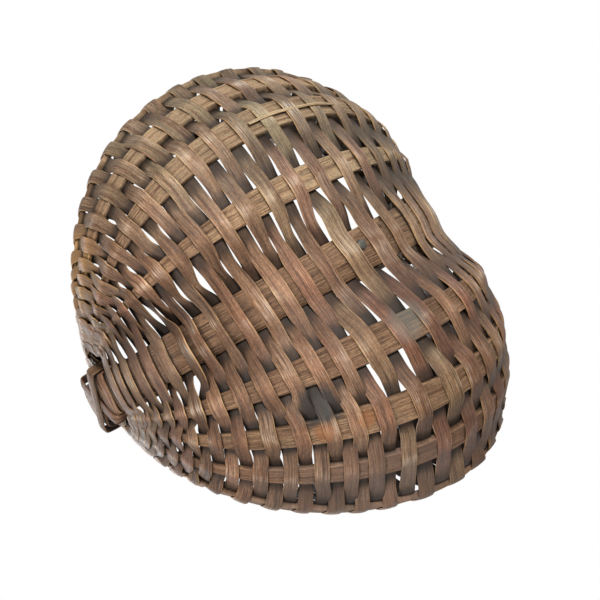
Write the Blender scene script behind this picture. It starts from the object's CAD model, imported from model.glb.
"""Looks of a buttock basket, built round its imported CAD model.

Shapes are worked out in millimetres, with the origin in the middle of the rim, X from ear to ear, Y across
the two lobes and Z up. A mesh goes into metres, in the frame of the part, when it is made. Angles along
the basket are in degrees, from 0 at the near ear to 180 at the far ear.
"""

import logging
import math
import random
from bisect import bisect_right
from dataclasses import dataclass
from enum import Enum
from typing import Callable, Sequence

import bmesh
import bpy
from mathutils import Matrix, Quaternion, Vector


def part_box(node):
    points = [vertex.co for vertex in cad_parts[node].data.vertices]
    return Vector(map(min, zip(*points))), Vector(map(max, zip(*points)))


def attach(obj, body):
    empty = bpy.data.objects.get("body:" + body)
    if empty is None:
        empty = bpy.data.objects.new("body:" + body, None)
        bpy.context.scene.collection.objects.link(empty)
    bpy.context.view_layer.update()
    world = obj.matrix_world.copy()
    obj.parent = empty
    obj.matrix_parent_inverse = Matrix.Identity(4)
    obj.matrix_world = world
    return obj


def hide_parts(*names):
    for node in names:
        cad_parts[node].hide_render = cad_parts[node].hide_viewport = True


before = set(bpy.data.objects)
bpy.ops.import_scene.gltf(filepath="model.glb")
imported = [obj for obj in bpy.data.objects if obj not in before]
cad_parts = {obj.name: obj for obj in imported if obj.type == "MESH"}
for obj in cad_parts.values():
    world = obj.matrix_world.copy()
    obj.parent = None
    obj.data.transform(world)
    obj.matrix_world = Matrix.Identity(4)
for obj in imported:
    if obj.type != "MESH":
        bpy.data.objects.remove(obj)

log = logging.getLogger("basket")
Socket = bpy.types.NodeSocket
Material = bpy.types.Material

METRES = 0.001
X_AXIS = Vector((1, 0, 0))
Y_AXIS = Vector((0, 1, 0))
Z_AXIS = Vector((0, 0, 1))
GRAIN_MAP = "grain"
# The cut edges of a strip: their width in millimetres, the share of their height that stays upright, how
# suddenly the faces round off to them, and where the faces bend between them, in shares of the half width
CUT_EDGE = 0.45
UPRIGHT_CUT = 0.7
ROUNDING = 3
BENDS = (-0.6, -0.2, 0.2, 0.6)
# Corners nearer than this, in metres, are one corner, and faces that meet at more than this meet sharply
WELD_DISTANCE = 1e-6
SHARP_ANGLE = math.radians(50)
# Turns in degrees: a strip's on top of the rim, to its inside, and once round
TOP_TURN = 90
HALF_TURN = 180
FULL_TURN = 360
# How far the width of a shaved strip swings and over what length, for a hoop and for a rib
HOOP_SWINGS = ((0.25, 23.0), (0.15, 9.1))
RIB_SWINGS = ((0.3, 17.0), (0.2, 6.3))


class Mark(Enum):
    """What a mesh says about its own surface, for the finish to read."""

    EDGE = "edge"
    WEAR = "wear"
    TUCK = "tuck"
    TONE = "tone"


class Slot(Enum):
    """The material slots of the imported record."""

    HOOP = "hoop_wood"
    RIB = "rib_wood"
    DARK_SPLINT = "dark_splint"
    PALE_SPLINT = "pale_splint"
    LASHING = "lashing_splint"
    NAIL = "nail_steel"


def rim_middle() -> Vector:
    """The middle of the rim hoop in the frame of the part, in millimetres."""
    rim_low, rim_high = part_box("rim_hoop")
    hoop_low, hoop_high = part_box("handle_hoop")
    height = (rim_low.z + rim_high.z) / 2
    across = (hoop_low.y + hoop_high.y) / 2
    return Vector((0, across, height)) / METRES


RIM_MIDDLE = rim_middle()


def in_frame(point: Vector) -> Vector:
    """A point in metres, in the frame of the part.

    Args:
        point: The same point in millimetres from the middle of the rim.
    """
    return (point + RIM_MIDDLE) * METRES


def linear(code: str) -> tuple[float, float, float, float]:
    """A colour for a shader.

    Args:
        code: Its six hexadecimal digits, as a screen shows it.

    Returns:
        Its red, green, blue and alpha in linear light.
    """
    shares = [int(code[i : i + 2], 16) / 255 for i in (0, 2, 4)]
    lit = [s / 12.92 if s <= 0.04045 else ((s + 0.055) / 1.055) ** 2.4 for s in shares]
    return (*lit, 1.0)


def smoothed(share: float) -> float:
    """An easing from 0 to 1 with level ends."""
    held = min(max(share, 0.0), 1.0)
    return held * held * (3 - 2 * held)


@dataclass
class Section:
    """One cross-section of a swept piece.

    Attributes:
        points: Its corners in order, in millimetres from the middle of the rim.
        across: Where each corner lies across the strip, in millimetres.
        along: Distance of the section along the strip, in millimetres.
        wear: How much its outer face is rubbed, from 0 to 1.
        tuck: How deep it sits under its neighbours, from 0 to 1.
    """

    points: list[Vector]
    across: list[float]
    along: float
    wear: float = 0.0
    tuck: float = 0.0


def sweep(
    name: str, sections: Sequence[Section], tone: float, ring: bool = False
) -> bpy.types.Object:
    """Makes one closed skin over a row of sections.

    Args:
        name: Name of the new object.
        sections: The sections, in order along the piece.
        tone: Shade of the whole piece from 0 to 1, which also tells its grain from its neighbours'.
        ring: Whether the last section is followed by the first one.

    Returns:
        The object, with its place in its mesh.
    """
    sides = len(sections[0].points)
    rows = list(sections) + ([sections[0]] if ring else [])
    last = len(rows) - 1
    bm = bmesh.new()
    bmesh.ops.create_grid(bm, x_segments=last, y_segments=sides, size=1.0)
    marks = {mark: bm.verts.layers.float.new(mark.value) for mark in Mark}
    grain = bm.loops.layers.uv.new(GRAIN_MAP)
    bm.verts.ensure_lookup_table()
    end = rows[-2].along + (rows[1].along - rows[0].along) if ring else rows[-1].along
    place = {}
    for vert in bm.verts:
        i = round((vert.co.x + 1) / 2 * last)
        j = round((vert.co.y + 1) / 2 * sides) % sides
        section = rows[i]
        place[vert] = (end if i == last else section.along, section.across[j])
        vert.co = in_frame(section.points[j])
        half = max(abs(a) for a in section.across)
        vert[marks[Mark.EDGE]] = 1.0 if abs(section.across[j]) > half - CUT_EDGE / 2 else 0.0
        vert[marks[Mark.WEAR]] = section.wear
        vert[marks[Mark.TUCK]] = section.tuck
        vert[marks[Mark.TONE]] = tone
    for face in bm.faces:
        face.smooth = True
        for loop in face.loops:
            along, across = place[loop.vert]
            loop[grain].uv = (along * METRES + tone, across * METRES)
    bmesh.ops.remove_doubles(bm, verts=bm.verts, dist=WELD_DISTANCE)
    if not ring:
        rims = [edge for edge in bm.edges if edge.is_boundary]
        bmesh.ops.holes_fill(bm, edges=rims, sides=0)
    bmesh.ops.recalc_face_normals(bm, faces=bm.faces)
    for edge in bm.edges:
        if len(edge.link_faces) == 2 and edge.calc_face_angle() > SHARP_ANGLE:
            edge.smooth = False
    return finished(name, bm)


def finished(name: str, bm: bmesh.types.BMesh) -> bpy.types.Object:
    """Turns a bmesh into an object of the scene and frees it.

    Args:
        name: Name of the object.
        bm: The shape, in metres in the frame of the part.

    Returns:
        The object.
    """
    mesh = bpy.data.meshes.new(name)
    bm.to_mesh(mesh)
    bm.free()
    made = bpy.data.objects.new(name, mesh)
    bpy.context.scene.collection.objects.link(made)
    return made


def dress(piece: bpy.types.Object, finish: Material, slot: Slot, *nodes: str) -> None:
    """Gives a piece its finish, its body and the CAD nodes that it stands for.

    Args:
        piece: The finished object.
        finish: Its material.
        slot: The record's slot that it takes its finish from.
        nodes: Names of the CAD nodes, or none where the piece is an extra one.
    """
    piece.data.materials.append(finish)
    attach(piece, "root")
    if nodes:
        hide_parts(*nodes)
    log.info("%s: %d faces, stands for %s", piece.name, len(piece.data.polygons), nodes or "nothing")


def strip_outline(
    width: float, inner: float, outer: float, crown: float, edge: float
) -> list[tuple[float, float]]:
    """Outline of a flat strip with worn corners.

    Args:
        width: Its width.
        inner: Height of its inner face over its middle line.
        outer: Height of its outer face over its middle line.
        crown: How far its middle stands over its edges.
        edge: Share of its thickness that is left at its edges.

    Returns:
        Pairs of a place across the strip and a height.
    """
    half = width / 2
    middle = (inner + outer) / 2
    thick = (outer - inner) / 2
    corner = 1 - CUT_EDGE / half
    shares = (-corner, *BENDS, corner)

    def arch(share: float) -> float:
        """Height of the bent strip at a share of its half width."""
        return crown * (0.5 - share * share)

    def body(share: float) -> float:
        """Half of the thickness at a share of its half width."""
        return thick * (1 - (1 - edge) * abs(share) ** ROUNDING)

    lower = [(s * half, middle + arch(s) - body(s)) for s in shares]
    upper = [(s * half, middle + arch(s) + body(s)) for s in reversed(shares)]
    rim = middle + arch(1)
    cut = thick * edge * UPRIGHT_CUT
    right = [(half, rim - cut), (half, rim + cut)]
    left = [(-half, rim + cut), (-half, rim - cut)]
    return [*lower, *right, *upper, *left]


@dataclass(frozen=True)
class Stance:
    """Where a strip is at one of its sections, and how it lies there.

    Attributes:
        middle: Its middle line's place.
        across: Direction of its width.
        out: Direction in which its outer face looks.
    """

    middle: Vector
    across: Vector
    out: Vector

    def section(
        self, outline: Sequence[tuple[float, float]], along: float, wear: float = 0.0, tuck: float = 0.0
    ) -> Section:
        """The section of the strip here.

        Args:
            outline: Its outline, from strip_outline.
            along: Distance along the strip.
            wear: How much its outer face is rubbed, from 0 to 1.
            tuck: How deep it sits under its neighbours, from 0 to 1.

        Returns:
            The section.
        """
        points = [self.middle + self.across * place + self.out * height for place, height in outline]
        return Section(points, [place for place, _ in outline], along, wear, tuck)


def swing(length: float, swings: Sequence[tuple[float, float]], phase: float = 0.0) -> float:
    """Extra width of an unevenly shaved strip.

    Args:
        length: Distance along the strip.
        swings: How far the width swings, and over what length, for each wave.
        phase: Where the waves start.

    Returns:
        The extra width in millimetres.
    """
    waves = enumerate(swings, start=1)
    return sum(far * math.sin(length / reach + i * phase) for i, (far, reach) in waves)


class Line:
    """A smooth line through the basket, known by an angle along it.

    Attributes:
        STEP: Angle between the places at which its length is measured.
        NEAR: Angle either side of a place that gives the direction there.
    """

    STEP = 0.5
    NEAR = 0.2

    def __init__(self, curve: Callable[[float], Vector], start: float, end: float) -> None:
        """Keeps the curve, and its length up to each angle.

        Args:
            curve: Gives the point at an angle.
            start: First angle.
            end: Last angle.
        """
        self.curve = curve
        self.start = start
        self.end = end
        count = math.ceil((end - start) / self.STEP)
        self.angles = [start + (end - start) * i / count for i in range(count + 1)]
        self.lengths = [0.0]
        points = [curve(angle) for angle in self.angles]
        for before, after in zip(points, points[1:]):
            self.lengths.append(self.lengths[-1] + (after - before).length)

    @property
    def length(self) -> float:
        """Whole length of the line."""
        return self.lengths[-1]

    def along(self, angle: float) -> Vector:
        """Direction of the line at an angle, towards larger angles."""
        return (self.curve(angle + self.NEAR) - self.curve(angle - self.NEAR)).normalized()

    def length_at(self, angle: float) -> float:
        """Length of the line up to an angle."""
        i = min(bisect_right(self.angles, angle), len(self.angles) - 1)
        share = (angle - self.angles[i - 1]) / (self.angles[i] - self.angles[i - 1])
        return self.lengths[i - 1] + share * (self.lengths[i] - self.lengths[i - 1])

    def angle_at(self, length: float) -> float:
        """Angle at which the line has a length, wrapped round where it is longer than the line."""
        rest = length % self.length
        i = min(bisect_right(self.lengths, rest), len(self.lengths) - 1)
        share = (rest - self.lengths[i - 1]) / (self.lengths[i] - self.lengths[i - 1])
        return self.angles[i - 1] + share * (self.angles[i] - self.angles[i - 1])


@dataclass(frozen=True)
class RibSize:
    """A rib.

    Attributes:
        reach: How far out it lies at mid length.
        drop: How far down it lies at mid length.
        spread: How gradually it leaves the ear.
        width: Its width at mid length.
        taper: How fast it narrows towards its tips.
        fan: Its share of its lobe's drift of the rows.
    """

    reach: float
    drop: float
    spread: float
    width: float
    taper: float
    fan: float


@dataclass(frozen=True)
class LobeShape:
    """One of the two lobes, with its ribs from the spine out to the rim.

    Attributes:
        name: Which lobe it is.
        side: Its side of the spine, as a sign on Y.
        swell: How much wider it is towards the far ear.
        sag: How much deeper it is towards the far ear.
        drift: Angles on the spine, each with how much further towards the far ear its row is out here.
        ribs: Its ribs.
    """

    name: str
    side: int
    swell: float
    sag: float
    drift: tuple[tuple[float, float], ...]
    ribs: tuple[RibSize, ...]


@dataclass(frozen=True)
class RowSpacing:
    """How the rows of the weave are spread from the near ear to the far ear.

    Attributes:
        count: How many rows there are.
        start: Angle on the spine of the first row, and from the far ear of the last.
        crowding: Share of the pitch that is lost at the near ear.
        crowded_rows: How many rows there are crowded.
        loosest_row: The row round which they are loosest.
        looseness: Extra share of the pitch there.
        loose_rows: How many rows either side are loose.
        rim_fan: The rim's share of a lobe's drift.
        ear_rows: How many loose rows are tucked in between the weave and each ear.
        ear_pitch: Angle between those rows on the spine.
    """

    count: int = 43
    start: float = 19.5
    crowding: float = 0.34
    crowded_rows: float = 7.0
    loosest_row: float = 27.0
    looseness: float = 0.45
    loose_rows: float = 5.0
    rim_fan: float = 1.06
    ear_rows: int = 4
    ear_pitch: float = 1.9

    @property
    def rows(self) -> range:
        """Numbers of all rows, where those tucked in at the near ear come before 0."""
        return range(-self.ear_rows, self.count + self.ear_rows)

    def with_ears(self, angles: list[float]) -> dict[int, float]:
        """The angles of all rows.

        Args:
            angles: Those of the counted rows.

        Returns:
            An angle for each row's number.
        """
        found = dict(enumerate(angles))
        near_pitch = self.ear_pitch * angles[0] / self.start
        far_pitch = self.ear_pitch * (HALF_TURN - angles[-1]) / self.start
        for i in range(1, self.ear_rows + 1):
            found[-i] = angles[0] - i * near_pitch
            found[self.count - 1 + i] = angles[-1] + i * far_pitch
        return found

    def on_spine(self) -> list[float]:
        """Angle of each counted row on the spine."""
        steps = [0.0]
        for row in range(self.count - 1):
            crowd = math.exp(-((row / self.crowded_rows) ** 2))
            loose = math.exp(-(((row + 0.5 - self.loosest_row) / self.loose_rows) ** 2))
            steps.append(steps[-1] + 1 - self.crowding * crowd + self.looseness * loose)
        scale = (HALF_TURN - 2 * self.start) / steps[-1]
        return [self.start + scale * step for step in steps]

    def fanned(self, drift: Sequence[tuple[float, float]], fan: float) -> dict[int, float]:
        """Angle of each row on a rib or on a side of the rim.

        Args:
            drift: The drift of its lobe.
            fan: Its share of that drift.

        Returns:
            An angle for each row's number.
        """
        found = []
        for angle in self.on_spine():
            after = max(next((i for i, (place, _) in enumerate(drift) if place >= angle), 1), 1)
            (low, first), (high, second) = drift[after - 1], drift[after]
            gone = smoothed((angle - low) / (high - low))
            found.append(angle + fan * (first + (second - first) * gone))
        return self.with_ears(found)


@dataclass(frozen=True)
class BasketSize:
    """The driving sizes of the whole basket, which its CAD model has too.

    Attributes:
        ear_span: Length of the handle hoop from ear to ear.
        spine_drop: How far the spine hangs below the rim.
        handle_rise: How far the handle stands over the rim.
        hoop_width: Width of the handle hoop.
        hoop_thickness: Thickness of the handle hoop.
        rim_spread: Width of the rim hoop across both lobes.
        rim_width: Height of the rim hoop's strip.
        rim_thickness: Thickness of the rim hoop.
        clearance: Gap between pieces that lie on each other.
        rib_drop_spread: How gradually the ribs go down from the ears.
        rib_thickness: Thickness of a rib at mid length.
        rib_tip_angle: Angle at which a rib starts, and before the far ear at which it ends.
        rib_tip_width: Width of a rib's tips.
        rib_tip_thickness: Thickness of a rib's tips.
        lobes: The left and the right lobe.
    """

    ear_span: float = 260.0
    spine_drop: float = 124.0
    handle_rise: float = 132.0
    hoop_width: float = 27.0
    hoop_thickness: float = 5.0
    rim_spread: float = 252.0
    rim_width: float = 16.0
    rim_thickness: float = 5.0
    clearance: float = 0.3
    rib_drop_spread: float = 0.74
    rib_thickness: float = 4.2
    rib_tip_angle: float = 9.6
    rib_tip_width: float = 2.6
    rib_tip_thickness: float = 1.4
    lobes: tuple[LobeShape, ...] = (
        LobeShape(
            "left", -1, -0.02, -0.15,
            ((19.5, -7.5), (44, -13), (90, -2.5), (118, -2.5), (160.5, 7.5)),
            (
                RibSize(55, 133, 0.4, 17.5, 1.8, 0.7),
                RibSize(101, 127, 0.63, 20, 1.3, 1.0),
                RibSize(129.5, 100, 0.65, 18, 1.0, 1.05),
                RibSize(148, 69, 0.75, 15, 1.0, 1.12),
            ),
        ),
        LobeShape(
            "right", 1, 0.18, 0.05,
            ((19.5, -7.5), (34, -8), (74, 0), (100, 7), (118, 5.5), (160.5, 5.5)),
            (
                RibSize(55, 133, 0.4, 21, 1.5, 0.65),
                RibSize(99, 127, 0.63, 19, 1.2, 1.0),
                RibSize(129, 101, 0.65, 17, 1.0, 1.04),
                RibSize(154, 62.5, 0.75, 14, 1.0, 1.06),
            ),
        ),
    )

    @property
    def ear_flat(self) -> float:
        """Angle over which the hoops lie flat on each other at an ear."""
        lower = min(self.spine_drop, self.handle_rise)
        rim_half = math.asin(self.rim_width / 2 / lower)
        hoop_half = math.asin(self.hoop_width / self.rim_spread)
        return math.degrees(max(rim_half, hoop_half))

    def earwards(self, angle: float) -> float:
        """How far along the basket an angle is, from -1 to 1, with both ends flat."""
        cosine = math.cos(math.radians(angle))
        return -math.copysign(min(1.0, abs(cosine) / math.cos(math.radians(self.ear_flat))), cosine)

    def handle_point(self, angle: float) -> Vector:
        """Middle of the handle hoop at an angle, the spine first and then the handle."""
        rise = math.sin(math.radians(angle))
        height = self.spine_drop if rise > 0 else self.handle_rise
        return Vector((self.ear_span / 2 * self.earwards(angle), 0, -height * rise))

    def rim_point(self, angle: float) -> Vector:
        """Middle of the rim hoop at an angle, the right side first."""
        half_span = (self.ear_span - self.hoop_thickness - self.rim_thickness) / 2 - self.clearance
        out = self.rim_spread / 2 * math.sin(math.radians(angle))
        return Vector((half_span * self.earwards(angle), out, 0))

    def rib_point(self, lobe: LobeShape, rib: RibSize, angle: float) -> Vector:
        """Middle of a rib at an angle.

        Args:
            lobe: Its lobe.
            rib: Its sizes.
            angle: The angle from the near ear.

        Returns:
            The place in millimetres.
        """
        along = -math.cos(math.radians(angle))
        bow = max(math.sin(math.radians(angle)), 0.0)
        deepest = 1 + lobe.sag**2 / (2 * self.rib_drop_spread)
        out = lobe.side * rib.reach * bow**rib.spread * (1 + lobe.swell * along)
        down = rib.drop * bow**self.rib_drop_spread * (1 + lobe.sag * along) / deepest
        return Vector((self.ear_span / 2 * along, out, -down))


@dataclass
class Warp:
    """Something that the splints cross: a rib, the spine or a side of the rim.

    Attributes:
        rows: Angle at which each row of the weave crosses it.
        line: Its middle line from the near ear to the far ear.
        width: Its width at an angle.
        faces: Heights of its inner and outer faces at an angle.
    """

    rows: dict[int, float]
    line: Line
    width: Callable[[float], float]
    faces: Callable[[float], tuple[float, float]]


@dataclass
class Hoop:
    """A hoop bent from one strip, whose ends overlap in a scarf.

    Attributes:
        name: The CAD node that it stands for.
        line: Its middle line, once round.
        across: Direction of its width.
        width: Its width.
        thickness: Its thickness.
        scarf_angle: Where the middle of the scarf is.
        finish: Its material.
        scarf_length: How long the two ends overlap.
        scarf_tip: Thickness of each end at its thin tip.
        scarf_gap: Gap between the two ends.
        step: Distance between two of its sections.
        edge: Share of its thickness that is left at its edges.
        tone: Its shade.
        near: Distance from a crossing at which the scarf still counts there.
    """

    name: str
    line: Line
    across: Vector
    width: float
    thickness: float
    scarf_angle: float
    finish: Material
    scarf_length: float = 44.0
    scarf_tip: float = 0.8
    scarf_gap: float = 0.16
    step: float = 3.0
    edge: float = 0.35
    tone: float = 0.37
    near: float = 4.0

    @property
    def scarf_start(self) -> float:
        """Length along the line at which the scarf starts."""
        return self.line.length_at(self.scarf_angle) - self.scarf_length / 2

    def faces(self, length: float) -> tuple[float, float]:
        """Inner and outer face of the strip.

        Args:
            length: Distance along the strip from its first end.

        Returns:
            Heights over the middle line.
        """
        half = self.thickness / 2
        if length < self.scarf_length:
            outer = self.thickness * (length / self.scarf_length - 0.5) - self.scarf_gap / 2
            return min(-half, outer - self.scarf_tip), outer
        if length > self.line.length:
            rest = length - self.line.length
            inner = self.thickness * (rest / self.scarf_length - 0.5) + self.scarf_gap / 2
            return inner, max(half, inner + self.scarf_tip)
        return -half, half

    def outermost(self, angle: float, reach: float) -> tuple[float, float]:
        """Innermost and outermost face near an angle.

        Args:
            angle: The angle along the line.
            reach: Distance either way that counts as near.

        Returns:
            Heights over the middle line.
        """
        here = self.line.length_at(angle) - self.scarf_start
        near = [h for h in (here - reach, here, here + reach) if 0 <= h <= self.scarf_length]
        pairs = [(-self.thickness / 2, self.thickness / 2)]
        pairs += [(self.faces(h)[0], self.faces(h + self.line.length)[1]) for h in near]
        return min(low for low, _ in pairs), max(high for _, high in pairs)

    def warp(self, rows: dict[int, float], line: Line, is_turned: bool = False) -> Warp:
        """A side of the hoop as the splints meet it.

        Args:
            rows: Angle at which each row of the weave crosses it.
            line: Its middle line from the near ear to the far ear.
            is_turned: Whether that line goes round the hoop backwards.

        Returns:
            What the splints cross.
        """

        def faces(angle: float) -> tuple[float, float]:
            """Inner and outer face where a row crosses the line."""
            return self.outermost(FULL_TURN - angle if is_turned else angle, self.near)

        return Warp(rows, line, lambda angle: self.width, faces)

    def build(self) -> None:
        """Makes the hoop and dresses it."""
        whole = self.line.length + self.scarf_length
        count = round(whole / self.step)
        sections = []
        for i in range(count + 1):
            length = whole * i / count
            angle = self.line.angle_at(self.scarf_start + length)
            out = self.across.cross(self.line.along(angle)).normalized()
            inner, outer = self.faces(length)
            width = self.width + swing(length, HOOP_SWINGS)
            outline = strip_outline(width, inner, outer, 0, self.edge)
            sections.append(Stance(self.line.curve(angle), self.across, out).section(outline, length))
        dress(sweep(self.name, sections, self.tone), self.finish, Slot.HOOP, self.name)


@dataclass
class Rib:
    """A shaved rib, widest and thickest at mid length.

    Attributes:
        size: Sizes of the basket.
        lobe: Its lobe.
        rib: Its own sizes.
        number: Its number from the spine out.
        finish: Its material.
        step: Distance between two of its sections.
        edge: Thickness of its edges, as a share of its middle's.
        tip_margin: How far before its end its last section is read.
    """

    size: BasketSize
    lobe: LobeShape
    rib: RibSize
    number: int
    finish: Material
    step: float = 2.5
    edge: float = 1.15
    tip_margin: float = 0.01

    def __post_init__(self) -> None:
        """Works out the line of the rib."""
        tip = self.size.rib_tip_angle
        rib_point = self.size.rib_point
        self.line = Line(lambda angle: rib_point(self.lobe, self.rib, angle), tip, HALF_TURN - tip)

    @property
    def name(self) -> str:
        """Name of the CAD node that the rib stands for."""
        return f"{self.lobe.name}_rib_{self.number}"

    def fullness(self, angle: float) -> float:
        """How full the rib is at an angle, from 0 at its tips to 1."""
        tip = math.sin(math.radians(self.size.rib_tip_angle))
        return max(math.sin(math.radians(angle)) - tip, 0) / (1 - tip)

    def width(self, angle: float) -> float:
        """Width at an angle."""
        tip = self.size.rib_tip_width
        return tip + (self.rib.width - tip) * self.fullness(angle) ** self.rib.taper

    def faces(self, angle: float) -> tuple[float, float]:
        """Inner and outer face at an angle."""
        tip = self.size.rib_tip_thickness
        half = (tip + (self.size.rib_thickness - tip) * self.fullness(angle)) / 2
        return -half, half

    def warp(self, spacing: RowSpacing) -> Warp:
        """The rib as the splints meet it."""
        return Warp(spacing.fanned(self.lobe.drift, self.rib.fan), self.line, self.width, self.faces)

    def build(self, out_at: Callable[[float], Vector]) -> None:
        """Makes the rib and dresses it.

        Args:
            out_at: Gives the direction out of the basket at an angle.
        """
        count = round(self.line.length / self.step)
        rng = random.Random(self.name)
        phase = rng.uniform(0, 6)
        sections = []
        for i in range(count + 1):
            length = self.line.length * i / count
            angle = self.line.angle_at(min(length, self.line.length - self.tip_margin))
            along = self.line.along(angle)
            out = out_at(angle)
            across = along.cross(out).normalized()
            inner, outer = self.faces(angle)
            width = self.width(angle) + swing(length, RIB_SWINGS, phase)
            outline = strip_outline(width, inner, outer, 0, self.edge)
            sections.append(Stance(self.line.curve(angle), across, out).section(outline, length))
        dress(sweep(self.name, sections, rng.random()), self.finish, Slot.RIB, self.name)


@dataclass
class Knot:
    """A place that a splint passes.

    Attributes:
        point: Where its middle is.
        out: Which way its outer face looks.
        width: Its width there.
        roll: How far it is turned about its own length, in degrees.
        wear: How much it is rubbed there.
        tuck: How deep it sits under its neighbours.
    """

    point: Vector
    out: Vector
    width: float
    roll: float = 0.0
    wear: float = 0.0
    tuck: float = 0.0


# Stretches of a spline count as at least this long, in millimetres
SHORTEST_STRETCH = 1e-3


def spline(before: Vector, start: Vector, end: Vector, after: Vector, share: float) -> Vector:
    """Point on a smooth line through four places, between the middle two.

    Args:
        before: The place before the stretch.
        start: Where the stretch starts.
        end: Where it ends.
        after: The place after it.
        share: How far along the stretch the point is.

    Returns:
        The point.
    """
    knots = [0.0]
    places = (before, start, end, after)
    for here, there in zip(places, places[1:]):
        knots.append(knots[-1] + max((there - here).length, SHORTEST_STRETCH) ** 0.5)
    at = knots[1] + share * (knots[2] - knots[1])
    layer = list(places)
    for reach in (1, 2, 3):
        layer = [
            layer[i].lerp(layer[i + 1], (at - knots[i]) / (knots[i + reach] - knots[i]))
            if reach != 3
            else layer[i].lerp(layer[i + 1], (at - knots[1]) / (knots[2] - knots[1]))
            for i in range(len(layer) - 1)
        ]
    return layer[0]


@dataclass
class Splint:
    """A flat splint through a row of knots.

    Attributes:
        name: Name of its object.
        knots: The places that it passes.
        tone: Its shade, from 0 to 1.
        thickness: Its thickness.
        crown: How far its middle stands over its edges.
        step: Longest distance between two of its sections.
        is_ring: Whether its last knot is followed by its first one.
        edge: Share of its thickness that is left at its edges.
    """

    name: str
    knots: list[Knot]
    tone: float
    thickness: float = 0.9
    crown: float = 0.35
    step: float = 1.8
    is_ring: bool = False
    edge: float = 0.85

    def samples(self) -> list[Knot]:
        """The knots, with more between them along a smooth line."""
        knots = self.knots
        count = len(knots)
        found = []
        spans = count if self.is_ring else count - 1
        for i in range(spans):
            here, there = knots[i], knots[(i + 1) % count]
            before = knots[i - 1] if self.is_ring or i else here
            after = knots[(i + 2) % count] if self.is_ring or i + 2 < count else there
            first = before.point if before is not here else here.point * 2 - there.point
            final = after.point if after is not there else there.point * 2 - here.point
            pieces = max(round((there.point - here.point).length / self.step), 1)
            for k in range(pieces):
                share = k / pieces
                eased = smoothed(share)
                found.append(
                    Knot(
                        spline(first, here.point, there.point, final, share),
                        here.out.lerp(there.out, eased).normalized(),
                        here.width + (there.width - here.width) * eased,
                        here.roll + (there.roll - here.roll) * eased,
                        here.wear + (there.wear - here.wear) * eased,
                        here.tuck + (there.tuck - here.tuck) * eased,
                    )
                )
        if not self.is_ring:
            found.append(knots[-1])
        return found

    def build(self, finish: Material, slot: Slot, *nodes: str) -> bpy.types.Object:
        """Makes the splint and dresses it.

        Args:
            finish: Its material.
            slot: The record's slot that it takes its finish from.
            nodes: The CAD nodes that it stands for.

        Returns:
            The splint's object.
        """
        samples = self.samples()
        count = len(samples)
        sections = []
        length = 0.0
        for i, knot in enumerate(samples):
            ahead = samples[(i + 1) % count] if self.is_ring or i + 1 < count else knot
            behind = samples[i - 1] if self.is_ring or i else knot
            run = (ahead.point - behind.point).normalized()
            side = knot.out.cross(run).normalized()
            side = Quaternion(run, math.radians(knot.roll)) @ side
            out = run.cross(side).normalized()
            if i:
                length += (knot.point - samples[i - 1].point).length
            half = self.thickness / 2
            outline = strip_outline(knot.width, -half, half, self.crown, self.edge)
            stance = Stance(knot.point, side, out)
            sections.append(stance.section(outline, length, knot.wear, knot.tuck))
        made = sweep(self.name, sections, self.tone, self.is_ring)
        dress(made, finish, slot, *nodes)
        return made


@dataclass(frozen=True)
class Quirk:
    """Where one splint leaves its neighbours' habit.

    Attributes:
        row: Its row, counted from the near ear.
        crossing: The piece that it crosses there, counted from the left rim, or halfway between two.
        shift: How far it lies towards the far ear.
        lift: How far it stands out of the basket.
        roll: How far it is turned about its length, in degrees.
        widen: Extra width.
    """

    row: int
    crossing: float
    shift: float = 0.0
    lift: float = 0.0
    roll: float = 0.0
    widen: float = 0.0


@dataclass(frozen=True)
class Habit:
    """How far splints stray from an even weave at one kind of place.

    Attributes:
        along: How far they lie to either side, along what they cross.
        lift: How far they stand off it.
        twist: How far they turn about their own length, in degrees.
        narrower: Most that they lose of their width, below 0.
        wider: Most that they gain.
        wear: How much they are rubbed where they show there.
    """

    along: float
    lift: float
    twist: float
    narrower: float
    wider: float
    wear: float


@dataclass(frozen=True)
class Show:
    """What differs between a splint outside a piece that it crosses and one inside it.

    Attributes:
        room: Share of the distance to the next row that it may span at a rib or the spine.
        rim_room: Share of that distance that it may span at the rim.
        tuck: How deep it sits there.
        beside: How deep it sits beside that piece.
        ridden_tuck: What riding over the tips adds to the first.
        ridden_beside: What riding over the tips adds to the second.
        packed_beside: What packing adds to the second.
    """

    room: float
    rim_room: float
    tuck: float
    beside: float
    ridden_tuck: float = 0.0
    ridden_beside: float = 0.0
    packed_beside: float = 0.0


@dataclass(frozen=True)
class RimKnot:
    """A place of a splint's end at the rim.

    Attributes:
        rise: Its height, in shares of half the rim's width.
        over: Extra height in millimetres.
        depth: Share of the rim's face that it lies out at, which is the outer face above 0.
        stands_off: Sign of the splint's own distance from that face.
        turn: How far it has turned over the rim, in degrees.
        tuck: How deep it sits.
    """

    rise: float
    over: float
    depth: float
    stands_off: int
    turn: float
    tuck: float


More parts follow.
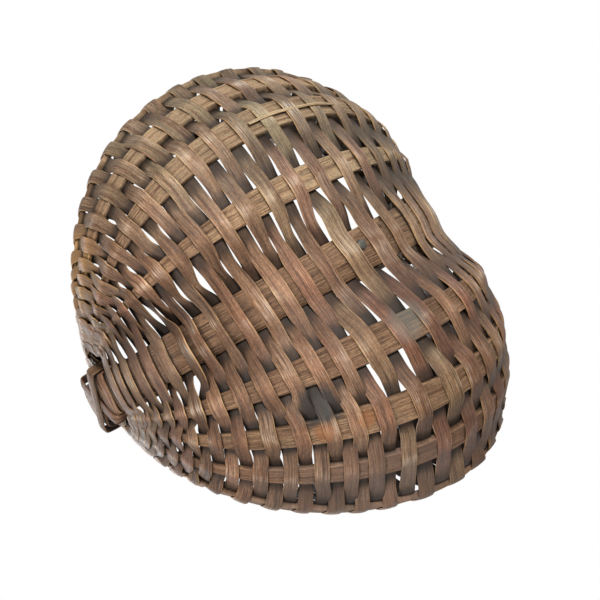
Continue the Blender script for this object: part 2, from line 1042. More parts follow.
@dataclass
class Weave:
    """The splints woven from rim to rim, over and under what they cross.

    Attributes:
        size: Sizes of the basket.
        warps: What the splints cross, from the left rim to the right rim.
        dark: Finish of the dark splints.
        pale: Finish of the pale splints.
        spacing: How the rows are spread.
        width: Width of a splint.
        thickness: Thickness of a splint.
        turned_down: How far an end that turns over the rim reaches down inside it.
        spine: Place of the spine among the warps.
        pale_every: Number of rows from one pale splint to the next.
        long_span: Distance between two pieces from which on a splint has a knot between them.
        shingle: How far each row leans on the next one, in degrees.
        level_shingle: Share of that where a row lies on what it crosses.
        packed_width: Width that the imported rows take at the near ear.
        packed_until: Row at which the packing ends.
        packed_rows: Rows over which it fades.
        broad_from: The warp from which on the loose rows are broad.
        broadening: How much broader they are there.
        overlap_left: Share of the rows' distance that a splint spans left of the spine.
        overlap_right: The same right of the spine.
        overlap_far: How much more it is towards the far ear.
        riding_until: Row at which no splint rides over the ribs' tips any more.
        riding_rows: Rows over which that fades.
        bulge: How much further a splint bows out over what it crosses.
        seat_gap: Gap that its crown leaves over a piece.
        drop: How far it comes down beside a piece, in shares of that piece's half thickness.
        level_drop: How far it comes down there besides.
        rubbed_beside: Share of the wear that is left there.
        past_tuck: How much deeper a splint sits between pieces towards the far ear.
        packed_tuck: How much deeper it sits there where it is packed.
        between_tuck: How deep it sits there.
        rim_seat: Gap between a splint and the rim.
        rim_packed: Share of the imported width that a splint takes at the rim.
        at_piece: Habit at a rib or the spine.
        in_gap: Habit between two pieces.
        at_edge: Habit at the rim.
        outside: How a splint shows outside what it crosses.
        inside: How it shows inside.
        turned_end: The end that goes over the rim, without its last knot.
        stopped_end: The end that stops behind the rim.
        quirks: Where single splints leave the others' habit.
        seed: Start of the random draws of the first row's knots.
        tone_seed: Start of the random draw of its shade.
    """

    size: BasketSize
    warps: list[Warp]
    dark: Material
    pale: Material
    spacing: RowSpacing
    width: float = 9.4
    thickness: float = 0.9
    turned_down: float = 12.0
    spine: int = 5
    pale_every: int = 3
    long_span: float = 9.0
    shingle: float = 6.0
    level_shingle: float = 0.4
    packed_width: float = 8.2
    packed_until: float = 13
    packed_rows: float = 8
    broad_from: int = 7
    broadening: float = 0.25
    overlap_left: float = 1.04
    overlap_right: float = 1.18
    overlap_far: float = 0.3
    riding_until: float = 5.0
    riding_rows: float = 6.0
    bulge: float = 0.4
    seat_gap: float = 0.1
    drop: float = 0.35
    level_drop: float = 0.2
    rubbed_beside: float = 0.35
    past_tuck: float = 0.15
    packed_tuck: float = 0.05
    between_tuck: float = 0.4
    rim_seat: float = 0.15
    rim_packed: float = 0.75
    at_piece: Habit = Habit(0.35, 0.3, 1.6, -0.8, 0.9, 1.0)
    in_gap: Habit = Habit(0.75, 0.4, 2.6, -0.7, 0.4, 0.3)
    at_edge: Habit = Habit(0.3, 0.0, 0.0, -0.8, 0.4, 0.8)
    outside: Show = Show(1.75, 1.95, 0.1, 0.3, packed_beside=0.1)
    inside: Show = Show(1.5, 1.7, 1.0, 0.9, ridden_tuck=-0.9, ridden_beside=-0.5)
    turned_end: tuple[RimKnot, ...] = (
        RimKnot(-1, 1, 0.5, 1, 0, 0.5),
        RimKnot(-0.5, 0, 1, 1, 0, 0.1),
        RimKnot(0.5, 0, 1, 1, 0, 0.1),
        RimKnot(1, 0, 0.4, 1, 45, 0.0),
        RimKnot(1, 0, 0, 0, 90, 0.0),
        RimKnot(1, 0, -0.4, -1, 135, 0.0),
        RimKnot(0.5, 0, -1, -1, 180, 0.2),
    )
    stopped_end: tuple[RimKnot, ...] = (
        RimKnot(-1, -0.4, -0.35, -1, 150, 0.9),
        RimKnot(-0.6, 0, -1, -1, 180, 0.8),
        RimKnot(0.8, 0, -0.9, -1, 180, 0.6),
    )
    quirks: tuple[Quirk, ...] = (
        Quirk(9, 4.5, 1.5, 1.5, 38, 1.0),
        Quirk(9, 5, 3.0, 1.2, 30, 0.5),
        Quirk(9, 5.5, 2.0, 1.0, 20, 0.0),
        Quirk(11, 5, 0, 0.6, 20, -1.0),
        Quirk(13, 5, 0, 0.6, 22, -1.5),
        Quirk(15, 5, 0, 0.6, 24, -1.5),
        Quirk(17, 5, 0, 0.6, 20, -1.0),
        Quirk(20, 4.5, -0.8, 0, 0, -1.5),
        Quirk(21, 4.5, 0.8, 0, 6, -1.5),
        Quirk(22, 4.5, -1.5, 0, 10, -2.8),
        Quirk(23, 4.5, -1.0, 0, 0, -1.2),
        Quirk(24, 4.5, -1.8, 0, 6, -1.8),
        Quirk(24, 3.5, 0.8, 0, 0, -1.2),
        Quirk(25, 4.5, 2.2, 0.8, 4, 0.8),
        Quirk(25, 5, 0.5, 0.9, 2, 2.0),
        Quirk(26, 4.5, 2.5, 0, 0, -1.0),
        Quirk(27, 5, 1.5, 0.9, 8, 1.6),
        Quirk(27, 4.5, 0.5, 0.6, 4, 0.4),
        Quirk(28, 4.5, 1.0, 0, 0, -1.5),
        Quirk(22, 6, 0, 0.4, 0, 2.6),
        Quirk(19, 3.5, -1.2, 0, 0, -1.5),
        Quirk(16, 4.5, -1.5, 0, 0, -2.0),
        Quirk(14, 4.5, -1.5, 0, 0, -2.2),
        Quirk(12, 4.5, -1.5, 0, 0, -2.2),
        Quirk(14, 3.5, 0, 0, 0, -1.6),
        Quirk(12, 3.5, 0, 0, 0, -1.6),
        Quirk(16, 6.5, 0, 0, 0, 0.8),
    )
    seed: int = 11050
    tone_seed: int = 5

    def out_at(self, j: int, angle: float) -> Vector:
        """Direction out of the basket at a rib or the spine."""
        if j == self.spine:
            across = Y_AXIS
        else:
            across = self.warps[j + 1].line.curve(angle) - self.warps[j - 1].line.curve(angle)
        return across.cross(self.warps[j].line.along(angle)).normalized()

    def place(self, j: int, row: int) -> Vector:
        """Where a row crosses the middle line of piece j."""
        return self.warps[j].line.curve(self.warps[j].rows[row])

    def room(self, j: int, row: int) -> float:
        """Distance to the nearer of the rows either side where a row crosses piece j."""
        others = [r for r in (row - 1, row + 1) if r in self.spacing.rows]
        return min((self.place(j, r) - self.place(j, row)).length for r in others)

    def broadest(self, j: int, row: int) -> float:
        """Greatest width of a splint, which is more in the loose rows towards the right rim."""
        loose = math.exp(-(((row - self.spacing.loosest_row) / self.spacing.loose_rows) ** 2))
        return self.width * (1 + (self.broadening * loose if j >= self.broad_from else 0.0))

    def overlap(self, j: int, row: int) -> float:
        """Share of the rows' distance that a splint spans between piece j and the next one."""
        near = self.overlap_right if j >= self.spine else self.overlap_left
        return near + self.overlap_far * self.past_loosest(row)

    def riding(self, j: int, row: int) -> float:
        """How far a splint rides over the thin tips of the ribs at the near ear, from 0 to 1."""
        return 0.0 if j == self.spine else smoothed((self.riding_until - row) / self.riding_rows)

    def past_loosest(self, row: int) -> float:
        """How far a row is past the loosest one, towards the far ear, from 0 to 1."""
        return smoothed((row - self.spacing.loosest_row) / self.spacing.loose_rows)

    def packing(self, row: int) -> float:
        """How far a splint overlaps its neighbours, which is most at the near ear, from 0 to 1."""
        return smoothed((self.packed_until - row) / self.packed_rows)

    def fitting(self, room: float, row: int) -> float:
        """Width that a splint finds where the rows leave it some room, or takes where they are packed."""
        return max(room, self.packed_width * self.packing(row))

    def quirk(self, row: int, crossing: float) -> Quirk:
        """The quirk of a row at a crossing, or one that changes nothing."""
        found = [q for q in self.quirks if q.row == row and q.crossing == crossing]
        return found[0] if found else Quirk(row, crossing)

    def crossing(self, j: int, row: int, rng: random.Random) -> list[Knot]:
        """Knots of a splint over or under one rib or the spine.

        Args:
            j: The piece that it crosses.
            row: Its row.
            rng: Where its unevenness comes from.

        Returns:
            The knots in order towards the right rim.
        """
        is_outside = (j + row) % 2 == 0
        show, habit = (self.outside if is_outside else self.inside), self.at_piece
        quirk = self.quirk(row, j)
        warp = self.warps[j]
        angle = warp.rows[row]
        out = self.out_at(j, angle)
        along = warp.line.along(angle)
        across = self.place(j + 1, row) - self.place(j - 1, row)
        across = (across - out * across.dot(out)).normalized()
        slant = across.cross(along).length
        room = self.fitting(self.room(j, row) * slant * show.room, row)
        width = min(self.broadest(j, row) + rng.uniform(habit.narrower, habit.wider), room) + quirk.widen
        inner, outer = warp.faces(angle)
        seat = self.seat_gap + self.thickness / 2 + self.size.clearance / 2
        slack = abs(rng.gauss(0, habit.lift))
        face = outer if is_outside else inner
        riding = self.riding(j, row)
        packing = self.packing(row)
        over = outer + seat + slack + self.bulge
        lift = over if is_outside else inner - seat - slack
        lift += (over - lift) * riding + quirk.lift
        middle = self.place(j, row) + along * (quirk.shift + rng.gauss(0, habit.along))
        reach = warp.width(angle) / 2 / slant
        roll = self.shingle * (self.level_shingle + packing) + quirk.roll + rng.gauss(0, habit.twist)
        wear = habit.wear if is_outside else riding
        tuck = show.tuck + show.ridden_tuck * riding
        beside = show.beside + show.ridden_beside * riding + show.packed_beside * packing
        drop = (self.drop * abs(face) + self.level_drop) * (1 if is_outside else 2 * riding - 1)
        knots = [Knot(middle + out * lift, out, width, roll, wear, tuck)]
        for side, at in ((-1, 0), (1, 2)):
            edge = middle + across * (side * reach) + out * (lift - drop)
            knots.insert(at, Knot(edge, out, width, roll, self.rubbed_beside * wear, beside))
        return knots

    def between(self, j: int, row: int, before: Knot, after: Knot, rng: random.Random) -> list[Knot]:
        """Knot of a splint halfway over a long space between two pieces.

        Args:
            j: The piece before the space.
            row: Its row.
            before: The last knot before the space.
            after: The first knot after it.
            rng: Where its unevenness comes from.

        Returns:
            One knot, or none where the space is short.
        """
        quirk = self.quirk(row, j + 0.5)
        span = (after.point - before.point).length
        if span < self.long_span and quirk == Quirk(row, j + 0.5):
            return []
        habit = self.in_gap
        first, second = self.warps[j], self.warps[j + 1]
        along = (first.line.along(first.rows[row]) + second.line.along(second.rows[row])).normalized()
        out = (before.out + after.out).normalized()
        point = (before.point + after.point) / 2
        astray = along * (quirk.shift + rng.gauss(0, habit.along))
        point += astray + out * (quirk.lift + rng.gauss(0, habit.lift))
        room = (self.room(j, row) + self.room(j + 1, row)) / 2
        room = self.fitting(room * self.overlap(j, row), row)
        stray = rng.uniform(habit.narrower, habit.wider)
        width = min((before.width + after.width) / 2, room + stray) + quirk.widen
        packing = self.packing(row)
        roll = self.shingle * (1 + packing) + quirk.roll + rng.gauss(0, habit.twist)
        tuck = self.between_tuck + self.packed_tuck * packing + self.past_tuck * self.past_loosest(row)
        return [Knot(point, out, width, roll, habit.wear, tuck)]

    def at_rim(self, j: int, row: int, rng: random.Random) -> list[Knot]:
        """Knots of a splint's end at a rim, from the nearest rib on.

        Args:
            j: The rim's place among the pieces.
            row: Its row.
            rng: Where its unevenness comes from.

        Returns:
            The knots, which go over the rim and down its inside where it comes up outside, and otherwise
            stop behind it.
        """
        is_outside = (j + row) % 2 == 0
        show, habit = (self.outside if is_outside else self.inside), self.at_edge
        warp = self.warps[j]
        angle = warp.rows[row]
        along = warp.line.along(angle)
        middle = warp.line.curve(angle) + along * rng.gauss(0, habit.along)
        out = Z_AXIS.cross(along).normalized()
        if out.dot(middle) < 0:
            out.negate()
        inner, outer = warp.faces(angle)
        room = max(self.room(j, row) * show.rim_room, self.rim_packed * self.fitting(0, row))
        width = min(self.broadest(j, row) + rng.uniform(habit.narrower, habit.wider), room)
        seat = self.rim_seat + self.thickness / 2
        half = self.size.rim_width / 2
        knots = []
        for spot in self.turned_end if is_outside else self.stopped_end:
            face = outer * spot.depth if spot.depth > 0 else -inner * spot.depth
            height = half * spot.rise + spot.over + (seat if spot.turn == TOP_TURN else 0)
            turn = math.radians(spot.turn)
            facing = out * math.cos(turn) + Z_AXIS * math.sin(turn)
            knots.append(
                Knot(
                    middle + Z_AXIS * height + out * (face + spot.stands_off * seat),
                    facing if is_outside else -facing,
                    width,
                    wear=habit.wear if is_outside and spot.turn < HALF_TURN else 0.0,
                    tuck=spot.tuck,
                )
            )
        if is_outside:
            end = middle + Z_AXIS * (half - self.turned_down) + out * (inner - seat)
            knots.append(Knot(end, knots[-1].out, width, tuck=self.turned_end[0].tuck))
        return knots

    def knots(self, row: int) -> list[Knot]:
        """Every knot of one splint, from the left rim to the right rim."""
        rng = random.Random(self.seed + row)
        last = len(self.warps) - 1
        found = self.at_rim(0, row, rng)[::-1]
        for j in range(1, last):
            next_knots = self.crossing(j, row, rng)
            found += self.between(j - 1, row, found[-1], next_knots[0], rng)
            found += next_knots
        return found + self.at_rim(last, row, rng)

    def build(self) -> None:
        """Makes every splint and dresses it."""
        for row in self.spacing.rows:
            is_counted = 0 <= row < self.spacing.count
            name = f"splint_{row + 1:02d}" if is_counted else f"ear_splint_{row}"
            is_pale = row % self.pale_every == 1
            tone = random.Random(self.tone_seed + row).random()
            finish = self.pale if is_pale else self.dark
            slot = Slot.PALE_SPLINT if is_pale else Slot.DARK_SPLINT
            nodes = [name] if is_counted else []
            Splint(name, self.knots(row), tone, self.thickness).build(finish, slot, *nodes)


@dataclass
class Sliver:
    """A thin sliver split off along the outer face of a rib.

    Attributes:
        weave: The weave that holds the rib.
        finish: Its material.
        rib: The rib's place among the crossed pieces.
        angles: Where it is, along that rib.
        place: How far it is from the middle of the rib.
        width: Its width.
        thickness: Its thickness.
        tone: Its shade.
        stand_off: How far it stands off the rib.
        ripple: How much further it does so at every other knot.
        wear: How much it is rubbed.
        crown: How far its middle stands over its edges.
    """

    weave: Weave
    finish: Material
    rib: int = 3
    angles: tuple[float, ...] = (88, 96, 104, 112, 120)
    place: float = 1.4
    width: float = 1.9
    thickness: float = 0.6
    tone: float = 0.95
    stand_off: float = 2.0
    ripple: float = 0.5
    wear: float = 0.2
    crown: float = 0.1

    def build(self) -> None:
        """Makes the sliver and dresses it."""
        knots = []
        warp = self.weave.warps[self.rib]
        for i, angle in enumerate(self.angles):
            out = self.weave.out_at(self.rib, angle)
            across = warp.line.along(angle).cross(out)
            _, outer = warp.faces(angle)
            lift = outer + self.stand_off + self.ripple * (i % 2)
            point = warp.line.curve(angle) + out * lift + across * self.place
            knots.append(Knot(point, out, self.width, 0, self.wear, 0))
        splint = Splint("rib_sliver", knots, self.tone, self.thickness, self.crown)
        splint.build(self.finish, Slot.PALE_SPLINT)


@dataclass
class EarLashings:
    """The straps that tie the hoops where they cross.

    Attributes:
        size: Sizes of the basket.
        finish: Their material.
        width: Width of a strap.
        thickness: Thickness of a strap.
        slants: Angle that each strap climbs at, in degrees, from the lowest one out.
        counted: Names of those that are CAD nodes.
        gap: Gap between a strap and what it lies on.
        sag: How far the straps stand off the rim inside.
        corner: Distance from a corner at which a strap starts to turn round it.
        corner_cut: How far it cuts across the corner.
        wear: How much they are rubbed.
        tuck: How deep they sit.
    """

    size: BasketSize
    finish: Material
    width: float = 8.0
    thickness: float = 0.9
    slants: tuple[float, ...] = (36.0, -36.0, 42.0)
    counted: tuple[str, ...] = ("under", "over")
    gap: float = 0.3
    sag: float = 1.5
    corner: float = 4.0
    corner_cut: float = 0.8
    wear: float = 0.6
    tuck: float = 0.2

    def knots(self, end: int, slant: float, layer: int) -> list[Knot]:
        """Knots of one strap, once round both hoops.

        Args:
            end: Sign of X at its ear.
            slant: Angle that it climbs at, in degrees.
            layer: How many straps it lies over.

        Returns:
            The knots of a closed strap.
        """
        climb = math.radians(slant)
        diagonal = Vector((0, math.cos(climb), math.sin(climb)))
        half = X_AXIS.cross(diagonal) * (self.width / 2)
        lift = self.gap + self.thickness / 2 + layer * (self.thickness + self.gap)
        size = self.size
        past_hoop = (size.hoop_width / 2 + abs(half.y)) / abs(diagonal.y)
        past_rim = (size.rim_width / 2 + abs(half.z)) / abs(diagonal.z)
        reach = max(past_hoop, past_rim) + lift
        outer = (size.ear_span + size.hoop_thickness) / 2 + lift
        inner = size.ear_span / 2 - size.hoop_thickness / 2 - size.rim_thickness - lift - self.sag
        corner, cut = self.corner, self.corner_cut
        over = [
            (outer, reach - corner, 0),
            (outer - cut, reach - cut, 45),
            (outer - corner, reach, 90),
            (inner + corner, reach, 90),
            (inner + cut, reach - cut, 135),
            (inner, reach - corner, 180),
        ]
        under = [(place, -along, FULL_TURN - turn) for place, along, turn in reversed(over)]
        spots = [(outer, 0, 0), *over, (inner, 0, HALF_TURN), *under]
        found = []
        for place, along, turn in spots:
            spin = math.radians(turn)
            facing = X_AXIS * (end * math.cos(spin)) + diagonal * math.sin(spin)
            point = X_AXIS * (end * place) + diagonal * along
            found.append(Knot(point, facing, self.width, 0, self.wear, self.tuck))
        return found

    def build(self) -> None:
        """Makes the straps of both ears and dresses them."""
        for ear, end in (("near", -1), ("far", 1)):
            for layer, slant in enumerate(self.slants):
                is_counted = layer < len(self.counted)
                part = f"lashing_{self.counted[layer]}" if is_counted else f"wrap_{layer}"
                name = f"{ear}_ear_{part}"
                tone = random.Random(name).random()
                strap = Splint(name, self.knots(end, slant, layer), tone, self.thickness, is_ring=True)
                strap.build(self.finish, Slot.LASHING, *([name] if is_counted else []))


@dataclass
class Binding:
    """One turn of splint round a hoop, between an ear and the weave.

    Attributes:
        name: Name of its object.
        line: Middle line of the hoop.
        across: Direction of the hoop's width.
        hoop_width: Width of the hoop.
        hoop_thickness: Thickness of the hoop.
        angle: Where it is along the hoop.
        lean: How far it leans along the hoop, from the hoop's middle to its edge.
        width: Its own width.
        thickness: Its own thickness.
        gap: Its clearance from the hoop.
        flat: Share of half the hoop's width over which it lies flat.
        corner: Where it turns the corner: its share of the seat past the edge and its share of the face.
        wear: How much it is rubbed.
        tuck: How deep it sits.
    """

    name: str
    line: Line
    across: Vector
    hoop_width: float
    hoop_thickness: float
    angle: float
    lean: float
    width: float = 8.0
    thickness: float = 0.9
    gap: float = 0.3
    flat: float = 0.85
    corner: tuple[float, float] = (0.5, 0.75)
    wear: float = 0.5
    tuck: float = 0.15

    def knots(self) -> list[Knot]:
        """Knots of the closed turn."""
        middle = self.line.curve(self.angle)
        along = self.line.along(self.angle)
        out = along.cross(self.across).normalized()
        half = self.hoop_width / 2
        seat = self.gap + self.thickness / 2
        face = self.hoop_thickness / 2 + seat
        past, height = self.corner
        quarter = [
            (0.0, face, 0),
            (half * self.flat, face, 0),
            (half + past * seat, face * height, 45),
            (half + seat, 0.0, 90),
        ]
        lower = [(place, -depth, HALF_TURN - turn) for place, depth, turn in reversed(quarter[:-1])]
        right = quarter + lower
        left = [(-place, -depth, HALF_TURN + turn) for place, depth, turn in right[1:-1]]
        found = []
        for place, depth, turn in right + left:
            spin = math.radians(turn)
            facing = out * math.cos(spin) + self.across * math.sin(spin)
            point = middle + out * depth + self.across * place + along * (self.lean * place / half)
            found.append(Knot(point, facing, self.width, 0, self.wear, self.tuck))
        return found

    def build(self, finish: Material) -> None:
        """Makes the turn and dresses it.

        Args:
            finish: Its material.
        """
        tone = random.Random(self.name).random()
        turn = Splint(self.name, self.knots(), tone, self.thickness, is_ring=True)
        turn.build(finish, Slot.LASHING)


@dataclass
class EarBindings:
    """The turns of splint round the rim and the spine beside both ears.

    Attributes:
        size: Sizes of the basket.
        rim: Middle line of the rim hoop.
        handle: Middle line of the handle hoop.
        finish: Their material.
        rim_place: Angle between an ear and each turn on the rim.
        rim_lean: How far those lean along the rim.
        rim_strap: Width of those.
        spine_places: Angle between an ear and each turn on the spine, with how far it leans.
    """

    size: BasketSize
    rim: Line
    handle: Line
    finish: Material
    rim_place: float = 7.4
    rim_lean: float = 0.8
    rim_strap: float = 7.0
    spine_places: tuple[tuple[float, float], ...] = ((5.4, 1.6), (8.3, -2.2))

    def build(self) -> None:
        """Makes every turn and dresses it."""
        size, near = self.size, self.rim_place
        on_rim = (near, HALF_TURN - near, HALF_TURN + near, FULL_TURN - near)
        for i, angle in enumerate(on_rim, start=1):
            strip = (self.rim, Z_AXIS, size.rim_width, size.rim_thickness)
            turn = Binding(f"rim_binding_{i}", *strip, angle, self.rim_lean, self.rim_strap)
            turn.build(self.finish)
        for i, (angle, lean) in enumerate(self.spine_places, start=1):
            for ear, place in (("near", angle), ("far", HALF_TURN - angle)):
                strip = (self.handle, Y_AXIS, size.hoop_width, size.hoop_thickness)
                Binding(f"{ear}_spine_binding_{i}", *strip, place, lean).build(self.finish)


@dataclass
class ScarfNail:
    """The nail through the scarf of the handle hoop.

    Attributes:
        weave: The weave, which knows where the spine is.
        finish: Its material.
        row: The row beside which it sits.
        head: Width of its head.
        rise: Height of its head.
        offset: How far it is from the middle of the spine.
        shank: Thickness of its shank.
        gap: Gap under its head.
        dome: Outline of the head from its top: shares of half its width and of its height.
        shoulder: Depth at which the shank starts to narrow.
        point: Depth of its point.
        steps: Number of sides.
        dented_above: Height over which the head is dented.
        dents: Deepest dent and highest bump.
        seed: Start of the random draws.
        weld: Distance under which corners are one.
    """

    weave: Weave
    finish: Material
    row: int
    head: float = 6.9
    rise: float = 1.5
    offset: float = -2.4
    shank: float = 2.0
    gap: float = 0.3
    dome: tuple[tuple[float, float], ...] = (
        (0.0, 1.0), (0.35, 0.97), (0.7, 0.82), (0.93, 0.5), (1.0, 0.2), (0.97, 0.0),
    )
    shoulder: float = 3.6
    point: float = 4.4
    steps: int = 32
    dented_above: float = 0.2
    dents: tuple[float, float] = (-0.08, 0.04)
    seed: int = 3
    weld: float = 0.01

    def build(self) -> None:
        """Makes the nail as one spun shape and dresses it."""
        warp = self.weave.warps[self.weave.spine]
        angle = warp.rows[self.row]
        out = self.weave.out_at(self.weave.spine, angle)
        lift = self.weave.size.hoop_thickness / 2 + self.gap
        seat = warp.line.curve(angle) + Y_AXIS * self.offset + out * lift
        half = self.shank / 2
        profile = [(self.head / 2 * width, self.rise * height) for width, height in self.dome]
        profile += [(half, 0), (half, -self.shoulder), (0, -self.point)]
        bm = bmesh.new()
        verts = [bm.verts.new((r, 0, z)) for r, z in profile]
        for before, after in zip(verts, verts[1:]):
            bm.edges.new((before, after))
        bmesh.ops.spin(
            bm,
            geom=bm.verts[:] + bm.edges[:],
            cent=(0, 0, 0),
            axis=(0, 0, 1),
            angle=2 * math.pi,
            steps=self.steps,
            use_merge=True,
            use_duplicate=False,
        )
        bmesh.ops.remove_doubles(bm, verts=bm.verts, dist=self.weld)
        bmesh.ops.recalc_face_normals(bm, faces=bm.faces)
        turn = Z_AXIS.rotation_difference(out)
        draws = random.Random(self.seed)
        for vert in bm.verts:
            if vert.co.z > self.dented_above:
                vert.co.z += draws.uniform(*self.dents)
            vert.co = in_frame(turn @ vert.co + seat)
        for face in bm.faces:
            face.smooth = True
        dress(finished("scarf_nail", bm), self.finish, Slot.NAIL, "scarf_nail")


@dataclass(frozen=True)
class Stain:
    """A place where the wood has another colour.

    Attributes:
        place: Its middle, in millimetres from the middle of the rim.
        reach: How far it spreads.
        colour: Its colour.
        strength: How strongly it covers the wood, from 0 to 1.
    """

    place: tuple[float, float, float]
    reach: float
    colour: str
    strength: float

    def share(
        self,
        sheet: "NodeSheet",
        place: Socket,
        blotch: Socket,
        fibre: Socket,
    ) -> Socket:
        """How much of the wood's colour the stain takes.

        Args:
            sheet: The material's nodes.
            place: Where the surface is.
            blotch: Unevenness for the stain's outline.
            fibre: Grain, which takes the stain unevenly.

        Returns:
            The socket of the share.
        """
        reach = self.reach * METRES
        distance = sheet.add("ShaderNodeVectorMath", operation="DISTANCE")
        sheet.feed(distance.inputs[0], place)
        distance.inputs[1].default_value = in_frame(Vector(self.place))
        ragged = reach * STAIN_RAGGED
        uneven = sheet.math("MULTIPLY_ADD", blotch, ragged, -ragged / 2)
        spread = sheet.plus(distance.outputs["Value"], uneven)
        covered = sheet.ranged(spread, Span(STAIN_CORE * reach, reach, self.strength, 0.0))
        return sheet.times(covered, sheet.ranged(fibre, STAIN_FIBRE))


@dataclass(frozen=True)
class Span:
    """How a value is moved from one range to another.

    Attributes:
        low: Where the range that it is read in starts.
        high: Where that range ends.
        start: What it becomes at the first of them.
        end: What it becomes at the second.
    """

    low: float
    high: float
    start: float = 0.0
    end: float = 1.0


@dataclass
class NodeSheet:
    """Short ways to place and join the nodes of one material or of the surroundings.

    Attributes:
        tree: The tree that holds the nodes.
    """

    tree: bpy.types.NodeTree

    @classmethod
    def blank(cls, name: str) -> tuple[Material, "NodeSheet"]:
        """Makes an empty material.

        Args:
            name: Its name.

        Returns:
            The material, and the sheet to fill it on.
        """
        made = bpy.data.materials.new(name)
        made.use_nodes = True
        made.node_tree.nodes.clear()
        return made, cls(made.node_tree)

    def add(self, kind: str, **values: object) -> bpy.types.Node:
        """Adds a node.

        Args:
            kind: Its type.
            values: Properties to set on it.

        Returns:
            The new node.
        """
        node = self.tree.nodes.new(kind)
        for key, value in values.items():
            setattr(node, key, value)
        return node

    def feed(self, socket: Socket, source: object) -> None:
        """Joins a socket to another one, or sets its value.

        Args:
            socket: The socket.
            source: The other socket, or the value.
        """
        if isinstance(source, Socket):
            self.tree.links.new(source, socket)
        else:
            socket.default_value = source

    def attribute(self, mark: Mark) -> Socket:
        """What the mesh says of its surface."""
        return self.add("ShaderNodeAttribute", attribute_name=mark.value).outputs["Fac"]

    def math(self, operation: str, *values: object, clamp: bool = False) -> Socket:
        """The result of a sum.

        Args:
            operation: The kind of sum.
            values: Its numbers or sockets, in order.
            clamp: Whether the result is held between 0 and 1.

        Returns:
            The socket of the result.
        """
        node = self.add("ShaderNodeMath", operation=operation, use_clamp=clamp)
        for socket, source in zip(node.inputs, values):
            self.feed(socket, source)
        return node.outputs[0]

    def times(self, first: object, second: object) -> Socket:
        """Two numbers multiplied."""
        return self.math("MULTIPLY", first, second)

    def plus(self, first: object, second: object) -> Socket:
        """Two numbers added."""
        return self.math("ADD", first, second)

    def ranged(self, value: object, span: Span) -> Socket:
        """A value moved from one range to another, and held in it.

        Args:
            value: The value.
            span: Both ranges.

        Returns:
            The socket of the result.
        """
        node = self.add("ShaderNodeMapRange", interpolation_type="SMOOTHSTEP")
        sources = (value, span.low, span.high, span.start, span.end)
        for socket, source in zip(node.inputs[:5], sources):
            self.feed(socket, source)
        return node.outputs["Result"]

    def mix(
        self, share: object, first: object, second: object, blend: str = "MIX"
    ) -> Socket:
        """Two colours mixed.

        Args:
            share: How much of the second one there is.
            first: The first colour.
            second: The second colour.
            blend: How the second one is laid over the first.

        Returns:
            The socket of the result.
        """
        node = self.add("ShaderNodeMix", data_type="RGBA", blend_type=blend)
        self.feed(node.inputs["Factor"], share)
        self.feed(node.inputs[6], first)
        self.feed(node.inputs[7], second)
        return node.outputs[2]

    def scaled(
        self, vector: Socket, scale: Sequence[float], shift: float = 0.0
    ) -> Socket:
        """A place stretched along its axes.

        Args:
            vector: The place.
            scale: How far it is stretched along each axis.
            shift: How far it is moved along every axis.

        Returns:
            The socket of the result.
        """
        node = self.add("ShaderNodeMapping")
        self.feed(node.inputs["Vector"], vector)
        node.inputs["Scale"].default_value = scale
        node.inputs["Location"].default_value = (shift, shift, shift)
        return node.outputs[0]

    def noise(self, vector: Socket, detail: float, rough: float) -> Socket:
        """Uneven values round a half.

        Args:
            vector: The place that they follow.
            detail: How many finer layers there are.
            rough: How much each finer layer counts.

        Returns:
            The socket of the values.
        """
        node = self.add("ShaderNodeTexNoise", noise_dimensions="3D")
        self.feed(node.inputs["Vector"], vector)
        node.inputs["Scale"].default_value = 1.0
        node.inputs["Detail"].default_value = detail
        node.inputs["Roughness"].default_value = rough
        return node.outputs["Fac"]

    def bump(self, height: object, strength: float, relief: float) -> Socket:
        """A surface roughened by a height.

        Args:
            height: The height, from 0 to 1.
            strength: How strongly it shows.
            relief: How much a height of 1 is, in millimetres.

        Returns:
            The socket of the roughened normal.
        """
        node = self.add("ShaderNodeBump")
        node.inputs["Strength"].default_value = strength
        node.inputs["Distance"].default_value = relief * METRES
        self.feed(node.inputs["Height"], height)
        return node.outputs[0]

    def joined(self, kind: str, *sources: Socket) -> Socket:
        """Shaders joined by a node of some kind.

        Args:
            kind: Its type.
            sources: What goes into it, in order.

        Returns:
            The socket of the result.
        """
        node = self.add(kind)
        for socket, source in zip(node.inputs, sources):
            self.feed(socket, source)
        return node.outputs[0]

    def sky(self, strength: float) -> Socket:
        """White surroundings of some strength."""
        node = self.add("ShaderNodeBackground")
        node.inputs["Strength"].default_value = strength
        node.inputs["Color"].default_value = (1, 1, 1, 1)
        return node.outputs[0]

    def surface(self, kind: str, source: Socket) -> None:
        """Joins a shader to an output node of some kind."""
        self.feed(self.add(kind).inputs["Surface"], source)


@dataclass(frozen=True)
class Pattern:
    """An uneven pattern in the wood.

    Attributes:
        scale: How fine it is along each axis, in lines to the metre.
        shift: How far it is moved, so that no two patterns agree.
        detail: How many finer layers it has.
        rough: How much each finer layer counts.
    """

    scale: tuple[float, float, float]
    shift: float
    detail: float
    rough: float

    def drawn(self, sheet: NodeSheet, place: Socket, fine: float = 1.0) -> Socket:
        """The pattern's values, round a half.

        Args:
            sheet: The material's nodes.
            place: The place that it follows.
            fine: How much finer it is across the grain.

        Returns:
            The socket of the values.
        """
        along, across, through = self.scale
        stretched = sheet.scaled(place, (along, across * fine, through), self.shift)
        return sheet.noise(stretched, self.detail, self.rough)


